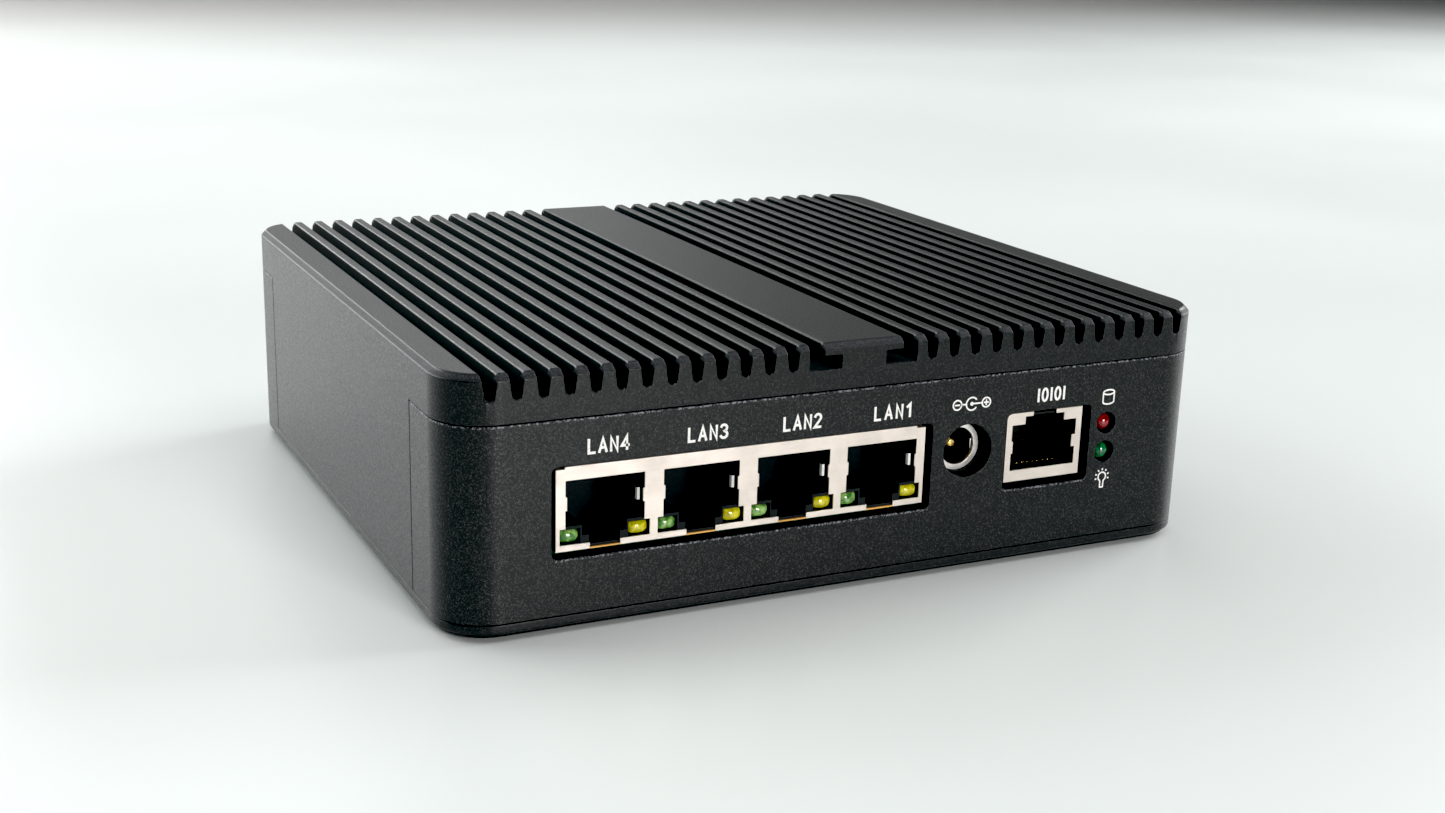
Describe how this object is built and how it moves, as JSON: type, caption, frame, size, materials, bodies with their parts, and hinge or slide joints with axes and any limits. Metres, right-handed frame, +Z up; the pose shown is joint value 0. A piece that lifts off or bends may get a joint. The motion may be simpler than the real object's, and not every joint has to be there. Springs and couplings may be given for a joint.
{
  "type": "firewall appliance",
  "caption": "Fanless firewall appliance: finned black aluminium case with network sockets, a console socket, a power inlet and status lamps on its front.",
  "frame": {"origin": "on the surface the feet stand on, under the middle of the case", "axes": "+X to the right along the front, +Y from the front to the rear, +Z up"},
  "size_m": [0.134, 0.125, 0.0405],
  "materials": {
    "cover_coat": "fine-grained black powder coat on extruded aluminium",
    "panel_coat": "fine-grained charcoal powder coat with light speckle",
    "plate_coat": "fine-grained black powder coat",
    "rubber": "black rubber",
    "black_steel": "blackened steel",
    "board_laminate": "green solder mask over glass laminate",
    "brass": "turned brass",
    "zinc_steel": "zinc-plated steel",
    "silicon": "polished silicon",
    "thermal_silicone": "grey heat-conducting silicone",
    "bare_aluminium": "milled aluminium",
    "ivory_plastic": "ivory nylon",
    "black_plastic": "black nylon",
    "chip_epoxy": "black moulding compound",
    "ferrite": "pressed grey ferrite",
    "nickel_shield": "warm nickel-plated sheet",
    "grey_plastic": "dark grey moulded plastic",
    "gold_contact": "gold-plated wire",
    "green_lens": "translucent green plastic",
    "yellow_lens": "translucent yellow plastic",
    "red_lamp": "translucent red plastic",
    "green_lamp": "translucent green plastic",
    "button_metal": "satin anodised aluminium",
    "blue_plastic": "blue moulded plastic"
  },
  "bodies": {
    "root": {"heatsink_cover": "cover_coat", "front_panel": "panel_coat", "rear_panel": "panel_coat", "bottom_plate": "plate_coat", "rubber_feet": "rubber", "case_screws": "black_steel", "aerial_hole_plugs": "rubber", "mainboard": "board_laminate", "board_standoffs": "brass", "board_screws": "zinc_steel", "processor_substrate": "board_laminate", "processor_die": "silicon", "thermal_pads": "thermal_silicone", "heat_spreader": "bare_aluminium", "spreader_screws": "zinc_steel", "memory_socket": "ivory_plastic", "memory_module": "board_laminate", "memory_chips": "chip_epoxy", "drive_socket": "black_plastic", "drive_board": "board_laminate", "drive_chips": "chip_epoxy", "drive_standoffs": "brass", "drive_screws": "zinc_steel", "expansion_socket": "black_plastic", "network_chips": "chip_epoxy", "network_transformers": "chip_epoxy", "firmware_chip": "chip_epoxy", "io_chip": "chip_epoxy", "power_inductors": "ferrite", "power_capacitors": "bare_aluminium", "power_transistors": "chip_epoxy", "battery_holder": "black_plastic", "coin_cell": "zinc_steel", "drive_data_port": "black_plastic", "drive_power_header": "ivory_plastic", "service_header": "black_plastic", "lan_shield": "nickel_shield", "lan_housing": "grey_plastic", "lan_contacts": "gold_contact", "lan_link_lenses": "green_lens", "lan_speed_lenses": "yellow_lens", "console_shield": "nickel_shield", "console_housing": "black_plastic", "console_contacts": "gold_contact", "jack_body": "black_plastic", "jack_sleeve": "nickel_shield", "jack_pin": "gold_contact", "jack_spring": "gold_contact", "lamp_holder": "black_plastic", "disk_lamp": "red_lamp", "power_lamp": "green_lamp", "power_switch": "black_plastic", "usb_shell": "nickel_shield", "usb_tongues": "blue_plastic", "video_shell": "nickel_shield", "video_tongue": "black_plastic"},
    "power_button": {"power_button": "button_metal", "switch_plunger": "ivory_plastic"},
    "memory_latch_left": {"memory_latch_left": "zinc_steel"},
    "memory_latch_right": {"memory_latch_right": "zinc_steel"}
  },
  "joints": [
    {"name": "power_button_press", "type": "slide", "parent": "root", "child": "power_button", "axis": [0, -1, 0], "range_m": [0, 0.0008], "stiffness_N_per_m": 400},
    {"name": "memory_latch_left_spread", "type": "hinge", "parent": "root", "child": "memory_latch_left", "pos_m": [-0.0541, 0.0155, 0.0085], "axis": [0, 0, 1], "range_deg": [0, 4], "stiffness_Nm_per_rad": 0.05},
    {"name": "memory_latch_right_spread", "type": "hinge", "parent": "root", "child": "memory_latch_right", "pos_m": [0.0181, 0.0155, 0.0085], "axis": [0, 0, -1], "range_deg": [0, 4], "stiffness_Nm_per_rad": 0.05}
  ]
}
